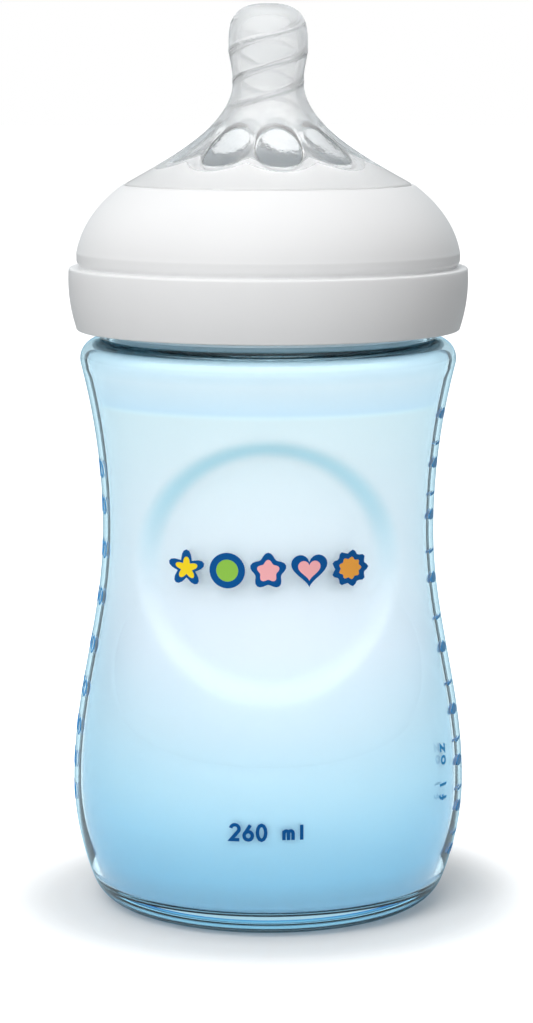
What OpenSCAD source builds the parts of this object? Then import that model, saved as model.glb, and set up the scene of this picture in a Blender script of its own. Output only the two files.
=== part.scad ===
// Wide-neck baby bottle: blow-moulded body, screw ring, one-piece silicone teat and printed scales.
// Millimetres, +Z up. Origin: centre of the foot, on the surface that the bottle stands on.
// The front, with the printed badge, faces -Y.

/* [Bottle body] */
// Widest diameter of the lower bulge
belly_d = 70.1; // [64:0.1:85]
// Height of the widest place of the lower bulge
belly_z = 22; // [18:0.5:26]
// Diameter of the waist
waist_d = 59.1; // [49:0.1:62]
// Height of the waist
waist_z = 68; // [58:0.5:76]
// How far the top of the upper flare stands out from the neck
shoulder_out = 3.65; // [3.2:0.05:4.2]
// Height where the upper flare meets the shoulder radius
shoulder_z = 97.2; // [80:0.1:118]
// Radius of the shoulder's edge
shoulder_edge = 3.6; // [2.6:0.1:4.2]
// Radius of curvature of the bulge's underside, as seen from the side
belly_arc = 45; // [38:1:60]
// Height where the underside turns into the foot radius
foot_z = 4.5; // [3.8:0.1:6]
// Wall thickness of the body
wall = 1.4; // [1:0.1:2]
// Thickness of the base at the middle
base_t = 4.3; // [3:0.1:6]
// Width of the flat ring that the bottle stands on
foot_w = 2.4; // [1.5:0.1:4]
// Height of the hollow under the base
kick_h = 0.9; // [0.4:0.1:1.5]

/* [Neck and thread] */
// Outer diameter of the neck
neck_d = 59.2; // [56:0.1:72]
// Wall thickness of the neck
neck_wall = 2; // [1.6:0.1:2.6]
// Height of the neck above the shoulder
neck_h = 15.7; // [13:0.1:20]
// Number of thread starts
thread_starts = 2; // [1:1:3]
// Rise of the thread in one turn
thread_lead = 10; // [8:0.5:12]
// Turns that each thread start runs
thread_turns = 0.7; // [0.4:0.05:0.8]
// Width of a thread at its root
thread_w = 2.2; // [1.6:0.1:2.3]
// Height of a thread above the neck
thread_h = 1.8; // [1.2:0.1:2]
// Gap between the thread's crest and the wall it faces
thread_gap = 0.3; // [0.2:0.05:0.4]

/* [Screw ring] */
// How far the grip band stands out from the cap seat
band_out = 1.45; // [1:0.05:2.5]
// Height of the grip band
band_h = 11.2; // [9:0.1:13]
// Height of the widest place of the band above its lower edge
band_bulge_z = 8.8; // [6:0.1:9]
// Radius of curvature of the band's side
band_arc = 27; // [22:1:60]
// Wall thickness between the threaded bore and the cap seat above the band
ring_wall = 2.2; // [1.8:0.1:3]
// Height of the cap seat
seat_h = 2.6; // [2:0.1:4]
// Height of the dome above the grip band
dome_h = 14.5; // [13:0.1:18]
// Diameter of the opening that the teat stands in
opening_d = 50.8; // [42:0.1:53]
// Wall thickness of the dome
dome_wall = 2; // [1.6:0.1:2.4]
// Gap between the ring's lower edge and the bottle's shoulder
ring_gap = 1.5; // [1:0.1:3]

/* [Teat] */
// Height of the teat above the ring's opening
teat_h = 31.3; // [26:0.1:38]
// Diameter of the teat's waist under the tip
teat_waist_d = 12.46; // [11:0.1:15]
// Diameter of the teat's tip
tip_d = 13.9; // [12.5:0.1:16]
// Length of the tip above the teat's waist
tip_h = 13.7; // [11:0.1:16]
// Wall thickness of the teat
teat_wall = 1.5; // [1.2:0.1:1.9]
// Thickness of the flange that seals on the bottle's rim
flange_t = 2.2; // [1.6:0.1:3]
// Gap between the teat and the ring around it
teat_gap = 0.3; // [0.2:0.05:0.4]
// Gap at the seal faces
seal_gap = 0.1; // [0.05:0.05:0.2]
// Number of thin oval windows round the cone
windows = 9; // [5:1:12]
// Depth of each window in the inner face
window_depth = 0.6; // [0.3:0.1:0.8]
// Radius of the round that makes each window
window_r = 5; // [4:0.5:6]
// Diameter of the feeding hole
feed_hole_d = 0.6; // [0.4:0.1:1]
// Diameter of each air vent in the skirt
vent_d = 1.2; // [0.8:0.1:2]

/* [Badge panel and prints] */
// Height of the middle of the round panel
badge_z = 64.3; // [55:0.1:75]
// Diameter of the round panel in the front of the body
panel_d = 42; // [30:0.5:46]
// Depth of the round panel
panel_depth = 0.4; // [0.2:0.1:0.5]
// Thickness of the printed ink
ink_t = 0.06; // [0.05:0.01:0.2]
// Width across each shape of the badge
badge_shape_w = 6.4; // [4:0.1:6.6]
// Distance between the badge's shapes
badge_pitch = 7; // [6.8:0.1:7.4]
// Width of each one-ounce drop
drop_w = 5.4; // [3:0.1:7]
// Height of each one-ounce drop
drop_h = 2; // [1.5:0.1:3]
// Length of each half-ounce tick
tick_w = 4.2; // [3:0.1:6]
// Thickness of the ticks and of the scale's strokes
stroke = 0.45; // [0.35:0.05:0.6]
// Height of the digits of the scale
digit_h = 3.2; // [2.4:0.1:4]
// How many times wider than normal the scale's digits are
digit_stretch = 1.6; // [1:0.1:1.8]
// Thickness of the digits' strokes
digit_stroke = 0.32; // [0.25:0.01:0.5]
// Height of the letters of the ounce scale's unit
unit_h = 2.8; // [2:0.1:3.4]
// Height of the characters of the capacity print
capacity_h = 3; // [2.4:0.1:3.6]
// Thickness of the capacity print's strokes
capacity_stroke = 0.6; // [0.4:0.05:0.7]

/* [Hidden] */
$fn = 96;

// ---- Body: radius of the outer wall at a height
belly_r = belly_d / 2;
waist_r = waist_d / 2;
neck_r = neck_d / 2;
shoulder_r = neck_r + shoulder_out;
function ease(t) = (1 - cos(180 * t)) / 2;
function body_r(z) =
    z < belly_z ? belly_r - pow(belly_z - z, 2) / (2 * belly_arc) :
    z < waist_z ? waist_r + (belly_r - waist_r) * ease((waist_z - z) / (waist_z - belly_z)) :
    waist_r + (shoulder_r - waist_r) * pow((z - waist_z) / (shoulder_z - waist_z), 2);

function arc(centre, r, from, to, steps = 10) =
    [for (i = [0:steps]) let(a = from + (to - from) * i / steps) centre + r * [cos(a), sin(a)]];
function bezier_point(p, t) =
    let(u = 1 - t) u * u * u * p[0] + 3 * u * u * t * p[1] + 3 * u * t * t * p[2] + t * t * t * p[3];
// first leaves out the points that the outline has already had
function bezier(p, steps, first = 0) = [for (i = [first:steps]) bezier_point(p, i / steps)];
function heights(from, to, steps) = [for (i = [0:steps]) from + (to - from) * i / steps];
function flip(list) = [for (i = [len(list) - 1:-1:0]) list[i]];
// The wall's outline, moved in by inset; every skin on the wall shares the same steps
wall_steps = 56;
wall_step = (shoulder_z - foot_z) / wall_steps;
function side(from, to, inset = 0) =
    [for (i = [max(0, floor((from - foot_z) / wall_step)):min(wall_steps, ceil((to - foot_z) / wall_step))])
        let(z = foot_z + i * wall_step) [body_r(z) - inset, z]];

// The foot radius is tangent to the wall above it and to the ground
foot_lean = atan((belly_z - foot_z) / belly_arc);
foot_r = foot_z / (1 - sin(foot_lean));
foot_centre = [body_r(foot_z) - foot_r * cos(foot_lean), foot_r];
// The shoulder radius is tangent to the flare below it and ends at the neck
shoulder_lean = atan(2 * (shoulder_r - waist_r) / (shoulder_z - waist_z));
shoulder_centre = [shoulder_r - shoulder_edge * cos(shoulder_lean),
                   shoulder_z + shoulder_edge * sin(shoulder_lean)];
shoulder_end = neck_r > shoulder_centre[0] ? acos((neck_r - shoulder_centre[0]) / shoulder_edge) : 90;
neck_z = shoulder_centre[1] + shoulder_edge * sin(shoulder_end);
rim_z = neck_z + neck_h;
neck_bore_r = neck_r - neck_wall;
rim_round = 0.4;
panel_sides = 60;
floor_round = 2;
floor_corner_r = body_r(base_t + floor_round) - wall - floor_round;

// ---- Ring: heights and radii
ring_z = neck_z + ring_gap;
ledge_z = ring_z + band_h;
lip_z = ledge_z + dome_h;
ring_bore_r = neck_r + thread_h + thread_gap;
seat_r = ring_bore_r + ring_wall;
band_r = seat_r + band_out;
opening_r = opening_d / 2;
edge_round = 0.6;
function band_side(z) = band_r - pow(z - ring_z - band_bulge_z, 2) / (2 * band_arc);
// The dome is a quarter ellipse whose middle is level with the band's top edge
dome_swell = 0.2;
dome_a = seat_r + dome_swell;
dome_b = dome_h / sqrt(1 - pow(opening_r / dome_a, 2));
function dome_r(z, inset) = (dome_a - inset) * sqrt(1 - pow((z - ledge_z) / (dome_b - inset), 2));
function dome_z(r, inset) = ledge_z + (dome_b - inset) * sqrt(1 - pow(r / (dome_a - inset), 2));
// The bore runs straight up to where the inside of the dome has closed to its radius
bore_top_z = dome_z(min(ring_bore_r, dome_a - dome_wall - 0.1), dome_wall);

// ---- Teat: heights and radii
flange_z = rim_z + seal_gap;
skirt_inset = dome_wall + teat_gap;
root_r = opening_r - teat_gap;
root_z = dome_z(root_r, skirt_inset);
teat_top_z = lip_z + teat_h;
waist_top_z = teat_top_z - tip_h;
teat_waist_r = teat_waist_d / 2;
tip_r = tip_d / 2;
flange_bore_r = neck_bore_r + 0.1;
skirt_wall = 2.1;
vent_z = flange_z + flange_t + 1.8;
function skirt_r(z) = min(dome_r(z, skirt_inset), ring_bore_r - teat_gap);
// The cone's outer and inner faces, from the ring's opening up to the waist
cone_lead_in = [-5.6, 3.3];
cone_outside = [[root_r, lip_z], [root_r, lip_z] + cone_lead_in, [teat_waist_r, waist_top_z - 8],
                [teat_waist_r, waist_top_z]];
cone_inner_r = teat_waist_r - teat_wall + 0.1;
cone_foot = [root_r - skirt_wall, root_z + 0.8];
cone_inner_lead_in = [-4.6, 3.6];
cone_inside = [cone_foot, cone_foot + cone_inner_lead_in, [cone_inner_r, waist_top_z - 9],
               [cone_inner_r, waist_top_z]];
// Heights above the waist that shape the swell up to the tip
swell_from = 3;
swell_mid = 3.6;
swell_to = 6.8;
// Each window is a round sunk into the inner face at this share of the way up the cone
window_at = 0.4;
window_turn = 8;

// ---- Threads
thread_base_z = neck_z + 3.4;
thread_sink = 0.3;
thread_crest = 0.45;
thread_segments = 48;
thread_run_in = 0.12;
thread_pitch = thread_lead / thread_starts;

// ---- Prints: places on the outside of the body
// Each ounce mark stands at a share of the height of the wall
ounce_z = [for (share = [0.097, 0.179, 0.265, 0.36, 0.475, 0.603, 0.719, 0.814, 0.904]) share * shoulder_z];
ounce_ml = 28.41;
half_ounce_z = [for (i = [0:len(ounce_z) - 2]) (ounce_z[i] + ounce_z[i + 1]) / 2];
millilitres = [for (i = [0:8]) 60 + 20 * i];
millilitre_z = [for (ml = millilitres)
    lookup(ml / ounce_ml, [for (i = [0:len(ounce_z) - 1]) [i + 1, ounce_z[i]]])];
number_lift = 2;
// Turns from +X, in degrees
ounce_turn = -12;
unit_turn = -28.5;
millilitre_turn = 184.5;
millilitre_tick_turn = 168;
front_turn = -90;
unit_z = 0.272 * shoulder_z;
capacity_z = 0.207 * shoulder_z;

// ---------------------------------------------------------------- helpers

// One thread: a tapering trapezium swept up a helix; out is 1 on the neck and -1 in the ring
module thread(root_r, z, start_turn, out) {
    steps = ceil(thread_turns * thread_segments);
    function rise(s) = min(1, s / thread_run_in, (thread_turns - s) / thread_run_in);
    function corner(s, k) =
        let(h = rise(s) * thread_h,
            r = root_r + out * (k == 0 || k == 3 ? -thread_sink : h),
            w = k == 0 || k == 3 ? thread_w / 2 : thread_w * thread_crest / 2,
            a = 360 * (start_turn + s))
        [r * cos(a), r * sin(a), z + thread_lead * s + (k < 2 ? -w : w)];
    points = [for (i = [0:steps]) for (k = [0:3]) corner(thread_turns * i / steps, k)];
    sides = [for (i = [0:steps - 1]) for (k = [0:3]) let(a = 4 * i + k, b = 4 * i + (k + 1) % 4)
        for (f = [[a, b, a + 4], [b, b + 4, a + 4]]) out > 0 ? f : [f[2], f[1], f[0]]];
    caps = [for (f = [[0, 1, 2], [0, 2, 3]]) for (last = [0, 1])
        let(g = [for (p = f) p + last * 4 * steps]) (last == 1) == (out > 0) ? g : [g[2], g[1], g[0]]];
    polyhedron(points, concat(sides, caps), convexity = 4);
}

module threads(root_r, z, offset_turn, out) {
    for (i = [0:thread_starts - 1]) thread(root_r, z, offset_turn + i / thread_starts, out);
}

// A skin of ink, as thick as the print, on the outside of the body between two heights
module ink_skin(from, to, inset = 0) {
    rotate_extrude() polygon(concat(side(from, to, inset - ink_t), flip(side(from, to, inset))));
}

// Puts a flat shape on the body at a turn round the axis and a height, as ink
module print(turn, z, reach, inset = 0) {
    intersection() {
        ink_skin(z - reach, z + reach, inset);
        rotate([0, 0, turn]) translate([waist_r / 2, 0, z]) rotate([90, 0, 90])
            linear_extrude(height = belly_r) children();
    }
}

// A line of the stroke's width along points; a path that ends where it starts becomes a ring
module stroke_path(points, width = stroke) {
    n = len(points);
    closed = norm(points[0] - points[n - 1]) < 0.001;
    function along(i) = let(d = points[i + 1] - points[i]) d / norm(d);
    function side_way(i) = let(
        before = along(i > 0 ? i - 1 : closed ? n - 2 : 0),
        after = along(i < n - 1 ? i : closed ? 0 : n - 2),
        turn = before + after)
        [-turn[1], turn[0]] / (1 + before * after);
    left = [for (i = [0:n - 1]) points[i] + side_way(i) * width / 2];
    right = [for (i = [0:n - 1]) points[i] - side_way(i) * width / 2];
    if (closed) difference() {
        polygon(right);
        polygon(left);
    } else polygon(concat(left, flip(right)));
}

// Characters as strokes in a cell 0.6 wide and 1 high; their lines are simple and of one weight
round_steps = 12;
function ring_path(c, rx, ry, from = 0, to = 360) =
    [for (i = [0:round_steps]) let(a = from + (to - from) * i / round_steps) c + [rx * cos(a), ry * sin(a)]];
function glyph(c) =
    c == "0" ? [ring_path([0.3, 0.5], 0.24, 0.44)] :
    c == "1" ? [[[0.12, 0.76], [0.34, 0.94], [0.34, 0.06]]] :
    c == "2" ? [concat(ring_path([0.3, 0.7], 0.24, 0.24, 170, -35), [[0.08, 0.06], [0.56, 0.06]])] :
    c == "4" ? [[[0.44, 0.06], [0.44, 0.94]], [[0.44, 0.94], [0.06, 0.32], [0.58, 0.32]]] :
    c == "6" ? [ring_path([0.3, 0.31], 0.24, 0.25), [[0.1, 0.42], [0.42, 0.94]]] :
    c == "8" ? [ring_path([0.3, 0.72], 0.19, 0.22), ring_path([0.3, 0.28], 0.24, 0.22)] :
    c == "f" ? [concat([[0.2, 0.06]], ring_path([0.38, 0.76], 0.18, 0.18, 180, 80)),
                [[0.06, 0.58], [0.42, 0.58]]] :
    c == "l" ? [[[0.3, 0.06], [0.3, 0.94]]] :
    c == "m" ? [[[0.05, 0.06], [0.05, 0.62]],
                concat(ring_path([0.18, 0.44], 0.13, 0.16, 180, 0), [[0.31, 0.06]]),
                concat(ring_path([0.44, 0.44], 0.13, 0.16, 180, 0), [[0.57, 0.06]])] :
    c == "o" ? [ring_path([0.3, 0.32], 0.23, 0.26)] :
    c == "z" ? [[[0.08, 0.6], [0.5, 0.6], [0.08, 0.06], [0.54, 0.06]]] :
    [];
cell = 0.76;
module label(word, h, width = stroke) {
    for (i = [0:len(word) - 1]) for (path = glyph(word[i]))
        stroke_path([for (p = path) [p[0] + (i - len(word) / 2) * cell + 0.08, p[1] - 0.5] * h], width);
}

module drop_shape(w, h) {
    belly = 0.36 * h;
    polygon(concat([[0, h]], ring_path([0, belly], w / 2, belly, 155, 385)));
}

// ---------------------------------------------------------------- pieces

module bottle_body() color([0.72, 0.89, 0.98, 0.6]) {
    difference() {
        union() {
            rotate_extrude() polygon(concat(
                [[0, kick_h], [foot_centre[0] - foot_w - 2 * kick_h, kick_h], [foot_centre[0] - foot_w, 0]],
                arc(foot_centre, foot_r, -90, -foot_lean, 12),
                side(foot_z, shoulder_z),
                arc(shoulder_centre, shoulder_edge, -shoulder_lean, shoulder_end, 10),
                [[neck_r, neck_z]],
                arc([neck_r - rim_round, rim_z - rim_round], rim_round, 0, 90, 4),
                arc([neck_bore_r + rim_round, rim_z - rim_round], rim_round, 90, 180, 4),
                [[neck_bore_r, shoulder_centre[1] + shoulder_edge - wall]],
                arc(shoulder_centre, shoulder_edge - wall, 90, -shoulder_lean, 8),
                flip(side(base_t + floor_round, shoulder_z, wall)),
                arc([floor_corner_r, base_t + floor_round], floor_round, 0, -90, 6),
                [[0, base_t]]));
            threads(neck_r, thread_base_z, 0, 1);
        }
        badge_recess();
    }
}

// The skin that is taken off the front of the body inside the round panel
module badge_recess() {
    reach = panel_d / 2 + 1;
    intersection() {
        rotate_extrude() polygon(concat(side(badge_z - reach, badge_z + reach, -1),
                                        flip(side(badge_z - reach, badge_z + reach, panel_depth))));
        translate([0, 0, badge_z]) rotate([90, 0, 0]) linear_extrude(height = belly_d)
            polygon([for (a = [0:360 / panel_sides:359.9]) panel_d / 2 * [cos(a), sin(a)]]);
    }
}

module screw_ring() color([0.97, 0.97, 0.97]) {
    foot_side = band_side(ring_z + edge_round);
    rotate_extrude() polygon(concat(
        [[ring_bore_r, ring_z]],
        arc([foot_side - edge_round, ring_z + edge_round], edge_round, -90, -20, 4),
        [for (z = heights(ring_z + edge_round, ledge_z - edge_round, 14)) [band_side(z), z]],
        arc([band_side(ledge_z - edge_round) - edge_round, ledge_z - edge_round], edge_round, 20, 90, 4),
        [[seat_r, ledge_z], [seat_r, ledge_z + seat_h]],
        [for (z = heights(ledge_z + seat_h, lip_z, 28)) if (z > ledge_z + seat_h) [dome_r(z, 0), z]],
        [for (z = heights(dome_z(opening_r, dome_wall), bore_top_z, 20)) [dome_r(z, dome_wall), z]],
        [[ring_bore_r, bore_top_z]]));
    threads(ring_bore_r, thread_base_z, ring_thread_turn, -1);
}

// Half a pitch of rise puts the ring's threads midway between the neck's
ring_thread_turn = -thread_pitch / 2 / thread_lead;

module teat() color([0.95, 0.97, 0.98, 0.75]) {
    difference() {
        rotate_extrude() polygon(concat(teat_outside(), flip(teat_inside())));
        for (i = [0:windows - 1]) rotate([0, 0, front_turn + window_turn + i * 360 / windows])
            translate([window_centre[0], 0, window_centre[1]]) sphere(r = window_r);
        translate([0, 0, teat_top_z - teat_wall - 1]) cylinder(d = feed_hole_d, h = teat_wall + 2);
        for (turn = [0, 180]) rotate([0, 0, turn]) translate([neck_bore_r - 6, 0, vent_z]) rotate([0, 90, 0])
            cylinder(d = vent_d, h = 20);
    }
}

window_place = bezier_point(cone_inside, window_at);
window_way = bezier_point(cone_inside, window_at + 0.01) - window_place;
window_out = [window_way[1], -window_way[0]] / norm(window_way);
window_centre = window_place - window_out * (window_r - window_depth);

// From the waist out to the tip's widest place, and from there over the rounded end to the axis
function swell(from_r, to_r, steps) =
    bezier([[from_r, waist_top_z], [from_r, waist_top_z + swell_from], [to_r, waist_top_z + swell_mid],
            [to_r, waist_top_z + swell_to]], steps, 1);
function tip_end(r, top_z, pull, steps) =
    bezier([[r, waist_top_z + swell_to], [r, top_z - pull], [r - 0.75, top_z], [0, top_z]], steps, 1);
function teat_outside() = concat(
    [[flange_bore_r, flange_z]],
    [for (z = heights(flange_z, root_z, 20)) [skirt_r(z), z]],
    bezier(cone_outside, 24),
    swell(teat_waist_r, tip_r, 10),
    tip_end(tip_r, teat_top_z, 3, 16));
function teat_inside() =
    concat(
        bezier([[flange_bore_r, flange_z + flange_t], [flange_bore_r, vent_z],
                cone_foot + [2.6, -2.9], cone_foot], 10),
        bezier(cone_inside, 20, 1),
        swell(cone_inner_r, tip_r - teat_wall, 8),
        tip_end(tip_r - teat_wall, teat_top_z - teat_wall, 2.1, 12));

module ounce_drops() color([0, 0.45, 0.8])
    for (z = ounce_z) print(ounce_turn, z, drop_h + 0.6) drop_shape(drop_w, drop_h);

module half_ounce_ticks() color([0, 0.45, 0.8])
    for (z = half_ounce_z) print(ounce_turn, z, 1) stroke_path([[-tick_w / 2, 0], [tick_w / 2, 0]]);

module ounce_unit() color([0, 0.45, 0.8])
    print(unit_turn, unit_z, 3 * unit_h) rotate(90) label("fl oz", unit_h);

module millilitre_numbers() color([0, 0.45, 0.8])
    for (i = [0:len(millilitres) - 1]) print(millilitre_turn, millilitre_z[i] + number_lift, digit_h)
        scale([digit_stretch, 1]) label(str(millilitres[i]), digit_h, digit_stroke);

module millilitre_ticks() color([0, 0.45, 0.8])
    for (z = millilitre_z) print(millilitre_tick_turn, z, 1) stroke_path([[-tick_w / 2, 0], [tick_w / 2, 0]]);

module capacity_label() color([0, 0.2, 0.5])
    print(front_turn, capacity_z, capacity_h) label("260 ml", capacity_h, capacity_stroke);

// The badge is a row of plain shapes; the radius of each outline follows the angle round it
badge_shapes = ["star", "disc", "flower", "heart", "sun"];
function badge_radius(shape, a) =
    shape == "star" ? 0.5 + 0.5 * pow(abs(cos(2.5 * (a - 90))), 1.6) :
    shape == "flower" ? 0.86 + 0.14 * cos(5 * (a - 90)) :
    shape == "sun" ? 0.9 + 0.1 * cos(9 * a) :
    0.95;
function badge_outline(shape, size) = [for (i = [0:39]) let(a = 9 * i) size / 2 *
    (shape == "heart" ?
        [16 * pow(sin(a), 3), 13 * cos(a) - 5 * cos(2 * a) - 2 * cos(3 * a) - cos(4 * a) + 2] / 16.5 :
        badge_radius(shape, a) * [cos(a), sin(a)])];
badge_fill = 0.62;
module on_badge(i) {
    print(front_turn, badge_z, badge_shape_w, panel_depth) translate([(i - 2) * badge_pitch, 0]) children();
}
module badge_centres(places) {
    for (i = places) on_badge(i) polygon(badge_outline(badge_shapes[i], badge_shape_w * badge_fill));
}
module badge_blue() color([0, 0.2, 0.5]) {
    for (i = [0:4]) on_badge(i) difference() {
        polygon(badge_outline(badge_shapes[i], badge_shape_w));
        polygon(badge_outline(badge_shapes[i], badge_shape_w * badge_fill));
    }
}
module badge_yellow() color([1, 0.87, 0.1]) badge_centres([0]);
module badge_green() color([0.55, 0.78, 0.25]) badge_centres([1]);
module badge_pink() color([1, 0.7, 0.72]) badge_centres([2, 3]);
module badge_orange() color([0.98, 0.65, 0.2]) badge_centres([4]);

bottle_body();
screw_ring();
teat();
ounce_drops();
half_ounce_ticks();
ounce_unit();
millilitre_numbers();
millilitre_ticks();
capacity_label();
badge_blue();
badge_green();
badge_yellow();
badge_orange();
badge_pink();
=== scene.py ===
"""Looks of the wide-neck baby bottle, laid out as an add-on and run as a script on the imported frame."""
import math
import bmesh
import bpy
import numpy as np
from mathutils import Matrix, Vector


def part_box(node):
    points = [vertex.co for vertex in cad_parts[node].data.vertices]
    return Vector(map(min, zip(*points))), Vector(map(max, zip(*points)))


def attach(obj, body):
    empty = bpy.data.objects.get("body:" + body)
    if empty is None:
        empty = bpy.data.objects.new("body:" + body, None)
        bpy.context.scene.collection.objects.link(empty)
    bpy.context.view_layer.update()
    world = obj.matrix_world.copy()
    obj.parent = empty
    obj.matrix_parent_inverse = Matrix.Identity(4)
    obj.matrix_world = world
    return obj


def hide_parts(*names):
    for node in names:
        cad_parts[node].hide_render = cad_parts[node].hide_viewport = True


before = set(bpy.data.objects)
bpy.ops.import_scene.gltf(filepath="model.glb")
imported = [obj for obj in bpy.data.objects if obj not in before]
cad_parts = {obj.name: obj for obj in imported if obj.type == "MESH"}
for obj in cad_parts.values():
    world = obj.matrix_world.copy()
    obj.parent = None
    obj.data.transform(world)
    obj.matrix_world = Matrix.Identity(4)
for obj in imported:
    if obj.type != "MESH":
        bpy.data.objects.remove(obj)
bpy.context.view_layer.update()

bl_info = {
    "name": "Baby bottle",
    "version": (1, 0, 0),
    "blender": (4, 5, 0),
    "location": "3D View > Sidebar > Baby bottle",
    "description": "Makes the clear body, the screw ring, the silicone teat, the prints and the stage",
    "category": "Object",
}

MM = 0.001
BODY_LOW, BODY_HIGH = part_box("bottle_body")
RING_LOW, RING_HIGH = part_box("screw_ring")
TEAT_LOW, TEAT_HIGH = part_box("teat")
RIM_Z = BODY_HIGH.z
RING_Z, LIP_Z = RING_LOW.z, RING_HIGH.z
TEAT_TOP = TEAT_HIGH.z
FLANGE_Z = TEAT_LOW.z
THREAD_Z = RING_Z + 1.9 * MM
THREAD_LEAD = 10 * MM
THREAD_STARTS = 2
THREAD_TURNS = 0.7
PANEL = (("Panel height", 64.3 * MM), ("Panel radius", 19 * MM), ("Panel bevel", 4 * MM))
WALL_DENT = 0.5 * MM
SKIN_DENT = 2.3 * MM
BODY_SEGMENTS = 208
TOP_SEGMENTS = 240
WINDOWS = 9
WINDOW_Z = LIP_Z + 5.9 * MM
WINDOW_HALF = 4.5 * MM
WINDOW_TURN = math.radians(8 - 90)
RIB_Z = TEAT_TOP - 13.5 * MM
RIB_LEAD = 10.4 * MM
RIB_STARTS = 2


# ------------------------------------------------------------------ properties

def length(name, description, mm, low=0.01, high=200.0):
    """A length that the panel shows in scene units."""
    return bpy.props.FloatProperty(name=name, description=description, default=mm * MM, min=low * MM,
                                   max=high * MM, unit="LENGTH", precision=5)


def colour(name, description, rgb):
    """A linear colour."""
    return bpy.props.FloatVectorProperty(name=name, description=description, default=rgb, size=3,
                                         subtype="COLOR", min=0.0, max=1.0)


class BodySizes(bpy.types.PropertyGroup):
    """Sizes and tint of the clear body."""
    belly_r: length("Belly radius", "Radius of the lower bulge", 35.05)
    belly_z: length("Belly height", "Height of the widest place of the lower bulge", 22)
    belly_arc: length("Underside arc", "Side-view radius of the bulge's underside", 45)
    waist_r: length("Waist radius", "Radius of the waist", 29.55)
    waist_z: length("Waist height", "Height of the waist", 68)
    shoulder_r: length("Shoulder radius", "Radius where the flare meets the shoulder's edge", 33.25)
    shoulder_z: length("Shoulder height", "Height where the flare meets the shoulder's edge", 97.2)
    shoulder_edge: length("Shoulder edge", "Radius of the shoulder's rounded edge", 3.6)
    foot_z: length("Foot height", "Height where the underside turns into the foot", 4.5)
    foot_w: length("Foot width", "Width of the ring that the bottle stands on", 2.4)
    kick_h: length("Base hollow", "Height of the hollow under the base", 0.9)
    base_t: length("Base", "Thickness of the base", 4.3)
    wall: length("Wall", "Wall thickness of the body", 1.4)
    neck_r: length("Neck radius", "Outer radius of the neck", 29.6)
    neck_wall: length("Neck wall", "Wall thickness of the neck", 2.0)
    skin_gap: length("Skin gap", "Gap between the wall's inner face and its milky skin", 0.06)
    tint: colour("Tint", "Light that the wall lets through", (0.0, 0.74, 0.95))
    tint_density: bpy.props.FloatProperty(name="Tint density", description="How strong the tint is",
                                          default=52.0, min=0.0)
    milk: bpy.props.FloatProperty(name="Milkiness", description="How much of the light the skin scatters",
                                  default=0.8, min=0.0, max=1.0, subtype="FACTOR")


class RingSizes(bpy.types.PropertyGroup):
    """Sizes and colour of the screw ring."""
    bore_r: length("Bore radius", "Radius of the bore between the threads", 31.7)
    seat_r: length("Cap seat radius", "Radius of the straight land above the band", 33.9)
    seat_h: length("Cap seat height", "Height of the land above the band", 2.6)
    band_r: length("Band radius", "Radius of the grip band", 35.35)
    band_h: length("Band height", "Height of the grip band", 11.2)
    band_bulge_z: length("Band bulge", "Height of the band's widest place above its edge", 8.8)
    band_arc: length("Band arc", "Side-view radius of the band", 27)
    opening_r: length("Opening radius", "Radius of the opening for the teat", 25.4)
    dome_wall: length("Dome wall", "Wall thickness of the dome", 2.0)
    plastic: colour("Plastic", "Colour of the ring", (0.83, 0.835, 0.84))


class TeatSizes(bpy.types.PropertyGroup):
    """Sizes and colour of the teat."""
    waist_r: length("Waist radius", "Radius of the waist under the tip", 6.23)
    tip_r: length("Tip radius", "Radius of the tip", 6.95)
    tip_h: length("Tip height", "Length of the tip above the waist", 13.7)
    wall: length("Wall", "Wall thickness of the teat", 1.5)
    gap: length("Gap", "Gap between the teat and the ring", 0.3)
    flange_t: length("Flange", "Thickness of the sealing flange", 2.2)
    hole_r: length("Feeding hole", "Radius of the feeding hole", 0.3)
    silicone: colour("Silicone", "Colour of the silicone", (0.97, 0.97, 0.97))


class StageSizes(bpy.types.PropertyGroup):
    """Camera and backdrop."""
    distance: length("Distance", "Camera distance in front of the axis", 558.5, 100, 5000)
    height: length("Height", "Camera height above the ground", 151.85, 0, 2000)
    side: length("Side", "Camera offset to the left of the axis", 0.3, 0, 100)
    tilt: bpy.props.FloatProperty(name="Tilt", description="Camera's tilt below the horizon",
                                  default=math.radians(8.305), subtype="ANGLE")
    lens: bpy.props.FloatProperty(name="Lens", description="Focal length on a 36 mm sensor", default=110.95,
                                  min=10.0, unit="CAMERA")
    backdrop: colour("Backdrop", "Colour of the floor", (0.8, 0.8, 0.8))
    sheen: colour("Sheen", "What the shiny faces mirror behind the bottle", (0.72, 0.78, 0.81))
    quiet: bpy.props.FloatProperty(name="Quiet", description="How much less light the floor throws back up",
                                   default=0.45, min=0.0, max=0.8)
    lift: bpy.props.FloatProperty(name="Lift", description="Brightness added to the floor for the eye",
                                  default=0.1, min=0.0, max=1.0)


# ------------------------------------------------------------------ outlines, in metres

def bezier(points, steps, first=0):
    """Points along a cubic curve with four control points, from step first on."""
    p = np.array(points, float)
    t = np.arange(first, steps + 1)[:, None] / steps
    u = 1 - t
    return (u ** 3 * p[0] + 3 * u * u * t * p[1] + 3 * u * t * t * p[2] + t ** 3 * p[3]).tolist()


def arc(centre, radius, start, end, steps):
    """Points along a round stretch between two angles in degrees."""
    a = np.radians(np.linspace(start, end, steps + 1))
    return [[centre[0] + radius * math.cos(x), centre[1] + radius * math.sin(x)] for x in a]


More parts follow.
